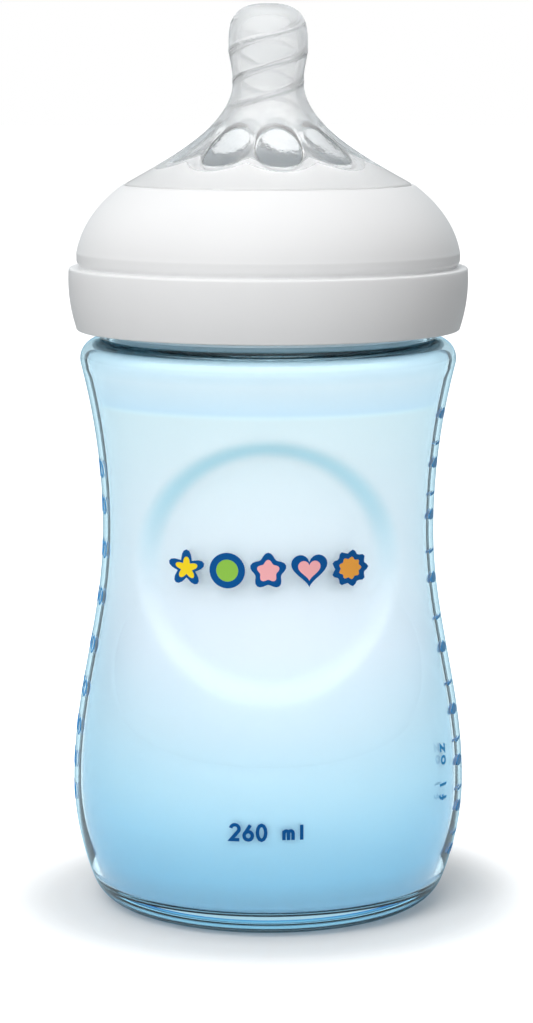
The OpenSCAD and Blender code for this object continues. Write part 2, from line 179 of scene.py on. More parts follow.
def body_radius(body, z):
    """Radius of the body's outside at a height."""
    if z < body.belly_z:
        return body.belly_r - (body.belly_z - z) ** 2 / (2 * body.belly_arc)
    if z < body.waist_z:
        share = (body.waist_z - z) / (body.waist_z - body.belly_z)
        return body.waist_r + (body.belly_r - body.waist_r) * (1 - math.cos(math.pi * share)) / 2
    share = (z - body.waist_z) / (body.shoulder_z - body.waist_z)
    return body.waist_r + (body.shoulder_r - body.waist_r) * share ** 2


def body_outline(body):
    """(radius, height, outside): from under the base up the outside, over the rim and down the inside."""
    lean = math.atan((body.belly_z - body.foot_z) / body.belly_arc)
    foot = body.foot_z / (1 - math.sin(lean))
    foot_c = (body_radius(body, body.foot_z) - foot * math.cos(lean), foot)
    top_lean = math.atan(2 * (body.shoulder_r - body.waist_r) / (body.shoulder_z - body.waist_z))
    top_c = (body.shoulder_r - body.shoulder_edge * math.cos(top_lean),
             body.shoulder_z + body.shoulder_edge * math.sin(top_lean))
    neck_z = top_c[1] + body.shoulder_edge
    bore = body.neck_r - body.neck_wall
    rim_round = 0.4 * MM
    floor_round = 2 * MM
    flat = foot_c[0] - body.foot_w
    outside = [[0, body.kick_h], [flat * 0.35, body.kick_h], [flat * 0.7, body.kick_h * 0.97]]
    outside += bezier([[flat * 0.85, body.kick_h * 0.9], [flat - 1.4 * MM, body.kick_h * 0.75],
                       [flat - 0.8 * MM, 0.0], [flat, 0.0]], 8)
    outside += arc(foot_c, foot, -90, -math.degrees(lean), 22)
    outside += [[body_radius(body, z), z] for z in np.linspace(body.foot_z, body.shoulder_z, 140)[1:]]
    outside += arc(top_c, body.shoulder_edge, -math.degrees(top_lean), 84, 14)[1:]
    outside += bezier([[body.neck_r + 0.25 * MM, neck_z - 0.01 * MM], [body.neck_r, neck_z],
                       [body.neck_r, neck_z + 0.1 * MM], [body.neck_r, neck_z + 0.5 * MM]], 4)
    outside += [[body.neck_r, z] for z in np.linspace(neck_z + 0.5 * MM, RIM_Z - rim_round, 76)[1:]]
    outside += arc((body.neck_r - rim_round, RIM_Z - rim_round), rim_round, 0, 90, 5)[1:]
    inside = arc((bore + rim_round, RIM_Z - rim_round), rim_round, 90, 180, 5)
    inside += [[bore, z] for z in np.linspace(RIM_Z - rim_round, neck_z + 0.6 * MM, 12)[1:]]
    inner_edge = body.shoulder_edge - body.wall
    inside += bezier([[bore, neck_z + 0.5 * MM], [bore, neck_z - 1 * MM],
                      [bore + 0.5 * MM, top_c[1] + inner_edge], [top_c[0], top_c[1] + inner_edge]], 8)
    inside += arc(top_c, inner_edge, 90, -math.degrees(top_lean), 10)[1:]
    inside += [[body_radius(body, z) - body.wall, z]
               for z in np.linspace(body.shoulder_z, body.base_t + floor_round, 120)[1:]]
    floor_r = body_radius(body, body.base_t + floor_round) - body.wall - floor_round
    inside += arc((floor_r, body.base_t + floor_round), floor_round, 0, -90, 10)[1:]
    inside += [[floor_r * share, body.base_t] for share in (0.97, 0.9, 0.7, 0.35, 0.0)]
    return [(*p, 1.0) for p in outside] + [(*p, 0.0) for p in inside]


def skin_outline(body):
    """(radius, height, outside) of the milky skin that lines the cavity, from the floor to the neck."""
    inner = [(r, z) for r, z, outside in reversed(body_outline(body)) if not outside]
    top = RIM_Z - 14 * MM
    lined = np.array([(r, z) for r, z in inner if z < top])
    step = np.gradient(lined, axis=0)
    normal = np.stack([-step[:, 1], step[:, 0]], axis=1)
    normal /= np.linalg.norm(normal, axis=1)[:, None]
    moved = lined + normal * body.skin_gap
    moved[0, 0] = 0.0
    return [(r, z, 1.0) for r, z in moved.tolist()]


def dome(r, ring, inset):
    """Height of the ring's dome at a radius, moved in by inset."""
    half_width = ring.seat_r + 0.2 * MM
    ledge = RING_Z + ring.band_h
    rise = (LIP_Z - ledge) / math.sqrt(1 - (ring.opening_r / half_width) ** 2)
    return ledge + (rise - inset) * math.sqrt(max(0.0, 1 - (r / (half_width - inset)) ** 2))


def ring_outline(ring):
    """A closed loop round the ring's section: bottom edge, band, seat, dome, lip and back down the bore."""
    edge = 0.35 * MM
    ledge = RING_Z + ring.band_h - 0.2 * MM
    seat_top = ledge + ring.seat_h

    def side(z):
        return ring.band_r - (z - RING_Z - ring.band_bulge_z) ** 2 / (2 * ring.band_arc)
    outside = [[ring.bore_r, RING_Z + 0.3 * MM], [ring.bore_r + 0.3 * MM, RING_Z]]
    outside += arc((side(RING_Z + edge) - edge, RING_Z + edge), edge, -90, -20, 6)
    outside += [[side(z), z] for z in np.linspace(RING_Z + edge, ledge - edge, 26)]
    outside += arc((side(ledge - edge) - edge, ledge - edge), edge, 20, 90, 6)
    groove = ring.seat_r - 0.45 * MM
    outside += bezier([[groove + 0.2 * MM, ledge], [groove, ledge],
                       [groove, ledge + 0.05 * MM], [groove, ledge + 0.25 * MM]], 5)
    outside += bezier([[groove, ledge + 0.25 * MM], [groove, ledge + 0.6 * MM],
                       [ring.seat_r, ledge + 0.6 * MM], [ring.seat_r, ledge + 1.5 * MM]], 10, 1)
    outside += [[ring.seat_r, z] for z in np.linspace(ledge + 1.6 * MM, seat_top, 4)]
    lip = 0.35 * MM
    outside += [[r, dome(r, ring, 0)] for r in
                np.sqrt(np.linspace((ring.seat_r - 0.02 * MM) ** 2, (ring.opening_r + lip) ** 2, 40))]
    outside += [[ring.opening_r, dome(ring.opening_r, ring, 0) - lip]]
    inner = [[r, dome(r, ring, ring.dome_wall)] for r in
             np.sqrt(np.linspace(ring.opening_r ** 2, ring.bore_r ** 2, 26))]
    bore_top = inner[-1][1]
    inner += [[ring.bore_r, z] for z in np.linspace(bore_top, RING_Z + 0.3 * MM, 70)[1:-1]]
    return [(*p, 1.0) for p in outside] + [(*p, 0.0) for p in inner]


def teat_outline(teat, ring, body):
    """A closed loop round the teat's section: flange, skirt, cone, tip, hole and back down the inside."""
    inset = ring.dome_wall + teat.gap
    root_r = ring.opening_r - teat.gap
    root_z = dome(root_r, ring, inset)
    waist_z = TEAT_TOP + 0.009 * MM - teat.tip_h
    top = TEAT_TOP
    bore = body.neck_r - body.neck_wall + 0.1 * MM
    flange_r = ring.bore_r - teat.gap

    def skirt(z):
        r = np.linspace(root_r, flange_r, 400)
        h = np.array([dome(x, ring, inset) for x in r])
        return float(np.interp(-z, -h, r)) if z > h[-1] else flange_r
    outside = [[bore, FLANGE_Z]]
    outside += [[skirt(z), z] for z in np.linspace(FLANGE_Z, root_z, 26)]
    outside += [[root_r, z] for z in np.linspace(root_z, LIP_Z, 8)[1:-1]]
    outside += bezier([[root_r, LIP_Z], [root_r - 5.6 * MM, LIP_Z + 3.3 * MM],
                       [teat.waist_r, waist_z - 8 * MM], [teat.waist_r, waist_z]], 120)
    outside += bezier([[teat.waist_r, waist_z], [teat.waist_r, waist_z + 3 * MM],
                       [teat.tip_r, waist_z + 3.6 * MM], [teat.tip_r, waist_z + 6.8 * MM]], 24, 1)
    outside += bezier([[teat.tip_r, waist_z + 6.8 * MM], [teat.tip_r, top - 3 * MM],
                       [teat.tip_r - 0.75 * MM, top], [teat.hole_r, top]], 40, 1)
    tip = teat.tip_r - teat.wall
    inner_top = top - teat.wall
    cone_r = teat.waist_r - teat.wall + 0.1 * MM
    foot = [root_r - 2.1 * MM, root_z + 0.8 * MM]
    inside = bezier([[teat.hole_r, inner_top], [tip - 0.75 * MM, inner_top], [tip, inner_top - 2.1 * MM],
                     [tip, waist_z + 6.8 * MM]], 30)
    inside += bezier([[tip, waist_z + 6.8 * MM], [tip, waist_z + 3.6 * MM], [cone_r, waist_z + 3 * MM],
                      [cone_r, waist_z]], 30, 1)
    inside += bezier([[cone_r, waist_z], [cone_r, waist_z - 9 * MM],
                      [foot[0] - 4.6 * MM, root_z + 4.4 * MM], foot], 90, 1)
    inside += bezier([foot, [foot[0] + 2.6 * MM, foot[1] - 2.9 * MM],
                      [bore, FLANGE_Z + teat.flange_t + 1.8 * MM], [bore, FLANGE_Z + teat.flange_t]], 16, 1)
    return [(*p, 1.0) for p in outside] + [(*p, 0.0) for p in inside]


# ------------------------------------------------------------------ geometry trees

class Field:
    """A number that varies over a mesh, written as ordinary arithmetic that becomes Math nodes."""

    def __init__(self, tree, socket):
        self.tree, self.socket = tree, socket

    def call(self, operation, *others):
        """One Math node on this number and the others."""
        node = self.tree.nodes.new("ShaderNodeMath")
        node.operation = operation
        for slot, value in zip(node.inputs, (self, *others)):
            if isinstance(value, Field):
                self.tree.links.new(value.socket, slot)
            else:
                slot.default_value = value
        return Field(self.tree, node.outputs[0])

    def __add__(self, other):
        return self.call("ADD", other)

    def __sub__(self, other):
        return self.call("SUBTRACT", other)

    def __mul__(self, other):
        return self.call("MULTIPLY", other)

    def __truediv__(self, other):
        return self.call("DIVIDE", other)

    def __neg__(self):
        return self.call("MULTIPLY", -1.0)

    def smooth(self, low, high):
        """0 below low, 1 above high and a smooth step between them."""
        node = self.tree.nodes.new("ShaderNodeMapRange")
        node.interpolation_type = "SMOOTHSTEP"
        self.tree.links.new(self.socket, node.inputs["Value"])
        for name, value in (("From Min", low), ("From Max", high)):
            if isinstance(value, Field):
                self.tree.links.new(value.socket, node.inputs[name])
            else:
                node.inputs[name].default_value = value
        return Field(self.tree, node.outputs["Result"])


class TurnedTree:
    """A geometry tree that turns an outline about the Z axis and lets a relief move its points."""

    def __init__(self, name, closed, inputs=()):
        self.tree = tree = bpy.data.node_groups.new(name, "GeometryNodeTree")
        face = tree.interface
        face.new_socket("Outline", in_out="INPUT", socket_type="NodeSocketGeometry")
        face.new_socket("Geometry", in_out="OUTPUT", socket_type="NodeSocketGeometry")
        self.names = {}
        for label, kind, value in (("Segments", "Int", 192), ("Points", "Int", 10), ("Weld", "Float", 1e-7),
                                   *[(n, "Float", v) for n, v in inputs]):
            item = face.new_socket(label, in_out="INPUT", socket_type=f"NodeSocket{kind}")
            item.default_value = value
            self.names[label] = item.identifier
        finish = face.new_socket("Material", in_out="INPUT", socket_type="NodeSocketMaterial")
        self.names["Material"] = finish.identifier
        self.ins = tree.nodes.new("NodeGroupInput")
        self.closed = closed

    def node(self, kind, links=(), **options):
        """Adds a node, sets its options and fills its inputs with fields, sockets or plain values."""
        node = self.tree.nodes.new(kind)
        for name, value in options.items():
            setattr(node, name, value)
        for key, value in dict(links).items():
            slot = node.inputs[key]
            if isinstance(value, Field):
                self.tree.links.new(value.socket, slot)
            elif isinstance(value, bpy.types.NodeSocket):
                self.tree.links.new(value, slot)
            else:
                slot.default_value = value
        return node

    def value(self, label):
        """One of the tree's named inputs."""
        return Field(self.tree, self.ins.outputs[label])

    def build(self, relief=None):
        """Joins the nodes: a grid, bent round the axis, welded and given its finish."""
        rows = self.value("Points") - (0 if self.closed else 1)
        grid = self.node("GeometryNodeMeshGrid", {"Size X": 1.0, "Size Y": 1.0,
                         "Vertices X": self.value("Segments") + 1, "Vertices Y": rows + 1})
        place = self.node("ShaderNodeSeparateXYZ", {0: self.node("GeometryNodeInputPosition").outputs[0]})
        turn = Field(self.tree, place.outputs["X"]) + 0.5
        row = ((Field(self.tree, place.outputs["Y"]) + 0.5) * rows + 0.5).call("FLOOR")
        if self.closed:
            row = row.call("MODULO", rows)
        outline = self.ins.outputs["Outline"]
        spots = self.node("GeometryNodeInputPosition").outputs[0]
        at = self.node("GeometryNodeSampleIndex", {"Geometry": outline, "Index": row, "Value": spots},
                       data_type="FLOAT_VECTOR")
        side = self.node("GeometryNodeInputNamedAttribute", {"Name": "outside"}, data_type="FLOAT")
        out = self.node("GeometryNodeSampleIndex", {"Geometry": outline, "Index": row,
                        "Value": side.outputs[0]}, data_type="FLOAT")
        split = self.node("ShaderNodeSeparateXYZ", {0: at.outputs[0]})
        r, z = Field(self.tree, split.outputs["X"]), Field(self.tree, split.outputs["Z"])
        outside = Field(self.tree, out.outputs[0])
        angle = turn * (2 * math.pi)
        extras = {}
        if relief:
            r, extras = relief(self, r, z, angle, outside)
        spot = self.node("ShaderNodeCombineXYZ", {0: r * angle.call("COSINE"),
                                                  1: r * angle.call("SINE"), 2: z})
        shaped = grid.outputs["Mesh"]
        for name, field in extras.items():
            stored = self.node("GeometryNodeStoreNamedAttribute", {"Geometry": shaped, "Name": name,
                               "Value": field}, data_type="FLOAT", domain="POINT")
            shaped = stored.outputs[0]
        for kind, inputs in (("SetPosition", {"Position": spot.outputs[0]}),
                             ("MergeByDistance", {"Distance": self.value("Weld")}),
                             ("SetShadeSmooth", {"Shade Smooth": True}),
                             ("RealizeInstances", {}),
                             ("SetMaterial", {"Material": self.ins.outputs["Material"]})):
            shaped = self.node("GeometryNode" + kind, {"Geometry": shaped, **inputs}).outputs[0]
        end = self.tree.nodes.new("NodeGroupOutput")
        self.tree.links.new(shaped, end.inputs[0])


def around(angle, count, offset):
    """Angle from the nearest of count places round the axis, from minus half a pitch to half a pitch."""
    pitch = 2 * math.pi / count
    return (angle + (4 * math.pi - offset + pitch / 2)).call("MODULO", pitch) - pitch / 2


def thread_relief(r, z, angle, outward, offset_turns):
    """Moves wall points by the height of the thread; outward is 1 on the neck and -1 in the ring."""
    root_w, crest_w, height = 2.2 * MM, 0.99 * MM, 1.8 * MM
    run_in = 0.1
    total = None
    for start in range(THREAD_STARTS):
        begin = offset_turns + start / THREAD_STARTS
        for lap in (-1, 0, 1):
            along = angle / (2 * math.pi) - (begin + lap)
            gap = (z - THREAD_Z - along * THREAD_LEAD).call("ABSOLUTE")
            ridge = (-gap).smooth(-root_w / 2, -crest_w / 2)
            inside = along.smooth(0, run_in) * (-along).smooth(-THREAD_TURNS, run_in - THREAD_TURNS)
            part = ridge * inside
            total = part if total is None else total.call("MAXIMUM", part)
    return r + total * outward * height


def rib_zone(z):
    """1 on the part of the teat that has ribs, fading to 0 at both ends."""
    return z.smooth(TEAT_TOP - 19 * MM, TEAT_TOP - 17.5 * MM) \
        * (-z).smooth(2.4 * MM - TEAT_TOP, 4 * MM - TEAT_TOP)


def panel_dent(turned, r, z, angle):
    """How far the round panel in the front sinks the wall."""
    x = r * angle.call("COSINE")
    front = (-angle.call("SINE")).smooth(0.0, 0.05)
    rise = z - turned.value("Panel height")
    distance = (x * x + rise * rise).call("SQRT")
    radius = turned.value("Panel radius")
    rim = distance.smooth(radius, radius + turned.value("Panel bevel"))
    return (-rim + 1) * front * turned.value("Panel depth")


def make_piece(name, turned, outline, settings, material):
    """Evaluates the tree on the outline and returns a plain mesh object."""
    mesh = bpy.data.meshes.new(name + "_outline")
    closed = turned.closed
    count = len(outline)
    edges = [(i, i + 1) for i in range(count - 1)] + ([(count - 1, 0)] if closed else [])
    mesh.from_pydata([(p[0], 0.0, p[1]) for p in outline], edges, [])
    flag = mesh.attributes.new("outside", "FLOAT", "POINT")
    flag.data.foreach_set("value", [p[2] for p in outline])
    source = bpy.data.objects.new(name + "_outline", mesh)
    bpy.context.scene.collection.objects.link(source)
    modifier = source.modifiers.new("Turned", "NODES")
    modifier.node_group = turned.tree
    for label, value in {"Points": count, "Material": material, **settings}.items():
        modifier[turned.names[label]] = value
    graph = bpy.context.evaluated_depsgraph_get()
    made = bpy.data.meshes.new_from_object(source.evaluated_get(graph), depsgraph=graph)
    bpy.data.objects.remove(source)
    made.name = name
    if not made.polygons:
        raise RuntimeError(f"{name}: the tree made no faces")
    bm = bmesh.new()
    bm.from_mesh(made)
    bmesh.ops.dissolve_degenerate(bm, dist=1e-9, edges=bm.edges)
    bmesh.ops.recalc_face_normals(bm, faces=bm.faces)
    bm.to_mesh(made)
    bm.free()
    piece = bpy.data.objects.new(name, made)
    bpy.context.scene.collection.objects.link(piece)
    return piece


# ------------------------------------------------------------------ finishes

def finish_material(name, base, roughness, **sockets):
    """A Principled material; sockets are set straight on the shader."""
    material = bpy.data.materials.new(name)
    material.use_nodes = True
    nodes, links = material.node_tree.nodes, material.node_tree.links
    shader = nodes["Principled BSDF"]
    shader.inputs["Base Color"].default_value = (*base, 1.0)
    shader.inputs["Roughness"].default_value = roughness
    for label, value in sockets.items():
        shader.inputs[label.replace("_", " ")].default_value = value
    return material, nodes, links, shader


def grain(nodes, links, scale, detail=3.0):
    """Noise on the piece's own coordinates, in metres."""
    where = nodes.new("ShaderNodeTexCoord")
    noise = nodes.new("ShaderNodeTexNoise")
    noise.inputs["Scale"].default_value = scale
    noise.inputs["Detail"].default_value = detail
    links.new(where.outputs["Object"], noise.inputs["Vector"])
    return noise


def own_place(nodes, links):
    """X, Y and Z of the piece's own coordinates, in metres."""
    where = nodes.new("ShaderNodeTexCoord")
    split = nodes.new("ShaderNodeSeparateXYZ")
    links.new(where.outputs["Object"], split.inputs[0])
    return [Field(split.id_data, split.outputs[axis]) for axis in "XYZ"]


def blend(nodes, links, share, second, target, first=None, kind="MIX"):
    """Mixes a second colour into the first by a share and links the result to a shader socket."""
    mix = nodes.new("ShaderNodeMix")
    mix.data_type = "RGBA"
    mix.blend_type = kind
    mix.inputs["B"].default_value = (*second, 1.0)
    if first:
        mix.inputs["A"].default_value = (*first, 1.0)
    links.new(share, mix.inputs["Factor"])
    links.new(mix.outputs["Result"], target)
    return mix.inputs["A"]


def thin_coat(shader, tint=(1.0, 1.0, 1.0)):
    """A coat that mirrors nothing and tints what lies under it, most where it is seen aslant."""
    shader.inputs["Coat Weight"].default_value = 1.0
    shader.inputs["Coat IOR"].default_value = 1.0
    shader.inputs["Coat Tint"].default_value = (*tint, 1.0)


def spread(nodes, links, source, low, high, target):
    """Maps a pattern from 0..1 to low..high on a shader socket."""
    ramp = nodes.new("ShaderNodeMapRange")
    ramp.inputs["To Min"].default_value = low
    ramp.inputs["To Max"].default_value = high
    links.new(source, ramp.inputs["Value"])
    links.new(ramp.outputs[0], target)


def bump(nodes, links, source, strength, distance, shader):
    """Raises the shader's surface by a pattern."""
    relief = nodes.new("ShaderNodeBump")
    relief.inputs["Strength"].default_value = strength
    relief.inputs["Distance"].default_value = distance
    links.new(source, relief.inputs["Height"])
    links.new(relief.outputs[0], shader.inputs["Normal"])


DISPLAY_GAMMA = 2.2


def ramp_by_height(nodes, links, stops, target):
    """Colours by height on the piece's own Z, given as (height in mm, display colour in bytes)."""
    z = own_place(nodes, links)[2]
    low, high = stops[0][0], stops[-1][0]
    share = nodes.new("ShaderNodeMapRange")
    share.inputs["From Min"].default_value = low * MM
    share.inputs["From Max"].default_value = high * MM
    links.new(z.socket, share.inputs["Value"])
    ramp = nodes.new("ShaderNodeValToRGB")
    links.new(share.outputs[0], ramp.inputs["Fac"])
    marks = ramp.color_ramp.elements
    while len(marks) < len(stops):
        marks.new(0.5)
    for mark, (height, rgb) in zip(marks, stops):
        mark.position = (height - low) / (high - low)
        mark.color = (*[(c / 255) ** DISPLAY_GAMMA for c in rgb], 1.0)
    links.new(ramp.outputs["Color"], target)


# Skin colours by height in mm. The bluer, darker foot is partly the plastic's tint and partly painted floor
# shade. The stop at 96 mm is painted lighter to offset the ring's shadow, and the last two stops paint the
# shadow under the ring on the neck. The stops from 90.2 to 91.1 mm draw a thin bright line.
SKIN_TINT_AND_SHADE = (
    (4, (134, 184, 210)), (10.6, (176, 222, 242)), (18.5, (200, 230, 243)), (26.2, (224, 235, 240)),
    (36.4, (240, 235, 236)), (50, (252, 236, 236)), (72, (255, 242, 240)), (90.2, (255, 249, 245)),
    (90.4, (255, 255, 253)), (90.9, (255, 255, 253)), (91.1, (236, 242, 250)), (96, (255, 249, 249)),
    (100.8, (205, 222, 230)), (103, (150, 172, 182)))
SKIN_EDGE_SHADE = ((6, (232, 242, 247)), (28, (236, 246, 250)), (58, (251, 253, 254)))


def milky_skin_material(body):
    """The milky blue behind the clear wall: deeper towards the base, partly as painted shade, with a faint
    line, painted light and a painted shadow near the top.
    """
    material, nodes, links, shader = finish_material("milky_blue_skin", (0.8, 0.9, 0.95), 0.6, IOR=1.0)
    shader.inputs["Transmission Weight"].default_value = 1 - body.milk
    thin_coat(shader)
    # Painted shade: the coat tint is stronger towards the base, so the skin darkens where it is seen aslant
    # and the lower body's edges come out darker.
    ramp_by_height(nodes, links, SKIN_EDGE_SHADE, shader.inputs["Coat Tint"])
    # Painted shade: the attribute read here multiplies the panel's upper bevel towards a darker blue.
    rim = nodes.new("ShaderNodeAttribute")
    rim.attribute_name = "upper_bevel_shade"
    under = blend(nodes, links, rim.outputs["Fac"], (0.66, 0.93, 1.0), shader.inputs["Base Color"],
                  kind="MULTIPLY")
    ramp_by_height(nodes, links, SKIN_TINT_AND_SHADE, under)
    return material


def clear_body_material(body):
    """Clear plastic with a blue tint that is weaker in the thick base."""
    material, nodes, links, shader = finish_material("clear_blue_body", (1.0, 1.0, 1.0), 0.02,
                                                     Transmission_Weight=1.0, IOR=1.49)
    thin_coat(shader, (0.965, 0.988, 0.997))
    flow = grain(nodes, links, 45.0, 2.0)
    spread(nodes, links, flow.outputs["Fac"], 0.0, 0.03, shader.inputs["Roughness"])
    bump(nodes, links, flow.outputs["Fac"], 0.05, 0.0002, shader)
    volume = nodes.new("ShaderNodeVolumeAbsorption")
    volume.inputs["Color"].default_value = (*body.tint, 1.0)
    pale_top, full_foot, pale_share = 6 * MM, 11 * MM, 0.15
    share = own_place(nodes, links)[2].smooth(pale_top, full_foot) * (1 - pale_share) + pale_share
    links.new((share * body.tint_density).socket, volume.inputs["Density"])
    links.new(volume.outputs[0], nodes["Material Output"].inputs["Volume"])
    return material


def ring_material(ring):
    """White plastic with a fine moulded grain."""
    material, nodes, links, shader = finish_material(
        "white_ring_plastic", tuple(ring.plastic), 0.3,
        Subsurface_Weight=0.15, Subsurface_Scale=0.002, Specular_IOR_Level=0.35)
    shader.inputs["Subsurface Radius"].default_value = (1.0, 1.0, 1.0)
    moulded = grain(nodes, links, 900.0, 4.0)
    spread(nodes, links, moulded.outputs["Fac"], 0.26, 0.36, shader.inputs["Roughness"])
    bump(nodes, links, moulded.outputs["Fac"], 0.08, 0.0001, shader)
    return material


def silicone_material(teat):
    """Clear silicone, frosted where the mesh says so, with a fine grey line along each rib painted as the
    rib's shade.
    """
    material, nodes, links, shader = finish_material("clear_silicone", tuple(teat.silicone), 0.3,
                                                     Transmission_Weight=1.0, IOR=1.41)
    thin_coat(shader, (0.985, 0.985, 0.985))
    frost = nodes.new("ShaderNodeAttribute")
    frost.attribute_name = "frost"
    spread(nodes, links, frost.outputs["Fac"], 0.03, 0.32, shader.inputs["Roughness"])
    spread(nodes, links, frost.outputs["Fac"], 0.98, 0.45, shader.inputs["Transmission Weight"])
    x, y, z = own_place(nodes, links)
    laps = (z - RIB_Z) / (RIB_LEAD / RIB_STARTS) - y.call("ARCTAN2", x) * (RIB_STARTS / (2 * math.pi))
    spare_laps = 20
    near = ((laps + (spare_laps + 0.5)).call("MODULO", 1.0) - 0.5).call("ABSOLUTE")
    zone = rib_zone(z)
    rib = (-near).smooth(-0.07, -0.02) * zone
    skin = grain(nodes, links, 1400.0, 2.0)
    height = rib + Field(material.node_tree, skin.outputs["Fac"]) * 0.05
    bump(nodes, links, height.socket, 0.8, 0.0004, shader)
    # Painted shade: a grey line along each rib stands in for the shade at the rib's edge; the rib itself is
    # a real bump.
    line = (-near).smooth(-0.035, -0.01) * zone
    blend(nodes, links, line.socket, (0.7, 0.71, 0.72), shader.inputs["Base Color"], teat.silicone)
    return material


def ink_material(name, rgb):
    """A printed ink with a faint speckle."""
    material, nodes, links, shader = finish_material(name, rgb, 0.35, Specular_IOR_Level=0.2)
    speckle = grain(nodes, links, 2500.0, 2.0)
    spread(nodes, links, speckle.outputs["Fac"], 0.28, 0.5, shader.inputs["Roughness"])
    bump(nodes, links, speckle.outputs["Fac"], 0.1, 0.00005, shader)
    return material


# ------------------------------------------------------------------ operators

class BOTTLE_OT_body(bpy.types.Operator):
    """Make the clear blue body with its badge panel and neck threads"""
    bl_idname = "baby_bottle.body"
    bl_label = "Clear body"

    def execute(self, context):
        body = context.scene.bottle_body
        turned = TurnedTree("Turned body", False, (*PANEL, ("Panel depth", WALL_DENT)))

        def relief(tree, r, z, angle, outside):
            return thread_relief(r - panel_dent(tree, r, z, angle), z, angle, outside, 0.0), {}

        def skin_relief(tree, r, z, angle, outside):
            dent = panel_dent(tree, r, z, angle)
            sunk = dent / tree.value("Panel depth")
            # Painted shade: the stored attribute marks the middle of the panel's bevel, mostly its upper
            # part, which the skin material darkens and turns bluer.
            upper = (z - tree.value("Panel height")).smooth(-8 * MM, 16 * MM)
            return r - dent, {"upper_bevel_shade": sunk * (-sunk + 1) * 4.0 * upper}
        turned.build(relief)
        piece = make_piece("bottle", turned, body_outline(body), {"Segments": BODY_SEGMENTS},
                           clear_body_material(body))
        lining = TurnedTree("Turned skin", False, (*PANEL, ("Panel depth", SKIN_DENT)))
        lining.build(skin_relief)
        skin = make_piece("bottle_skin", lining, skin_outline(body), {"Segments": BODY_SEGMENTS},
                          milky_skin_material(body))
        for obj in (piece, skin):
            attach(obj, "bottle")
            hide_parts("bottle_body")
        return {"FINISHED"}


class BOTTLE_OT_ring(bpy.types.Operator):
    """Make the white screw ring with its inner threads"""
    bl_idname = "baby_bottle.ring"
    bl_label = "Screw ring"

    def execute(self, context):
        ring = context.scene.bottle_ring
        turned = TurnedTree("Turned ring", True)

        def relief(tree, r, z, angle, outside):
            return thread_relief(r, z, angle, outside - 1, -0.25), {}
        turned.build(relief)
        piece = make_piece("ring", turned, ring_outline(ring), {"Segments": TOP_SEGMENTS},
                           ring_material(ring))
        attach(piece, "ring")
        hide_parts("screw_ring")
        return {"FINISHED"}


class BOTTLE_OT_teat(bpy.types.Operator):
    """Make the silicone teat with its windows and spiral ribs"""
    bl_idname = "baby_bottle.teat"
    bl_label = "Silicone teat"

    def execute(self, context):
        scene = context.scene
        teat = scene.bottle_teat
        turned = TurnedTree("Turned teat", True, (("Window depth", 0.95 * MM),
                                                  ("Rib height", 0.45 * MM), ("Rib lead", RIB_LEAD)))

        def relief(tree, r, z, angle, outside):
            inner = -outside + 1
            off = around(angle, WINDOWS, WINDOW_TURN)
            up = (z - WINDOW_Z) / WINDOW_HALF
            wide = off * r / (up * (-0.6 * MM) + WINDOW_HALF)
            petal = (up * up + wide * wide).call("SQRT")
            hollow = (-petal).smooth(-1.0, -0.78)
            lobe = (off * (WINDOWS / 2)).call("COSINE")
            rib_foot, rib_crest, outer_rib = 0.55 * MM, 0.25 * MM, 0.08 * MM
            ribs = None
            for start in range(RIB_STARTS):
                for lap in (-1, 0, 1, 2):
                    along = angle / (2 * math.pi) - start / RIB_STARTS - lap
                    gap = (z - RIB_Z - along * tree.value("Rib lead")).call("ABSOLUTE")
                    ridge = (-gap).smooth(-rib_foot, -rib_crest)
                    ribs = ridge if ribs is None else ribs.call("MAXIMUM", ridge)
            zone = rib_zone(z)
            moved = r + hollow * inner * tree.value("Window depth") \
                - ribs * zone * inner * tree.value("Rib height") + ribs * zone * outside * outer_rib
            frost_top, frost_foot, fade = LIP_Z + 11.3 * MM, LIP_Z + 4.3 * MM, 0.2 * MM
            above = (z - lobe * (1.4 * MM)).smooth(frost_top, frost_top + fade)
            below = (-(z + lobe * (1.5 * MM))).smooth(-frost_foot, fade - frost_foot)
            between = (-hollow + 1) * 0.3
            return moved, {"frost": (above * 0.4).call("MAXIMUM", below).call("MAXIMUM", between)}
        turned.build(relief)
        piece = make_piece("teat_skin", turned, teat_outline(teat, scene.bottle_ring, scene.bottle_body),
                           {"Segments": TOP_SEGMENTS}, silicone_material(teat))
        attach(piece, "teat")
        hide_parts("teat")
        return {"FINISHED"}


INKS = {
    "scale_blue_ink": ((0.0, 0.3, 0.7), ("ounce_drops", "half_ounce_ticks", "ounce_unit",
                                          "millilitre_numbers", "millilitre_ticks")),
    "dark_blue_ink": ((0.0, 0.09, 0.32), ("capacity_label", "badge_blue")),
    "green_ink": ((0.3, 0.6, 0.08), ("badge_green",)),
    "yellow_ink": ((1.0, 0.75, 0.02), ("badge_yellow",)),
    "orange_ink": ((0.95, 0.42, 0.07), ("badge_orange",)),
    "pink_ink": ((1.0, 0.48, 0.5), ("badge_pink",)),
}


class BOTTLE_OT_prints(bpy.types.Operator):
    """Give the printed scales and the badge their inks"""
    bl_idname = "baby_bottle.prints"
    bl_label = "Printed scales and badge"

    def execute(self, context):
        for ink, (rgb, nodes) in INKS.items():
            material = ink_material(ink, rgb)
            for node in nodes:
                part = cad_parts[node]
                part.data.materials.clear()
                part.data.materials.append(material)
        return {"FINISHED"}


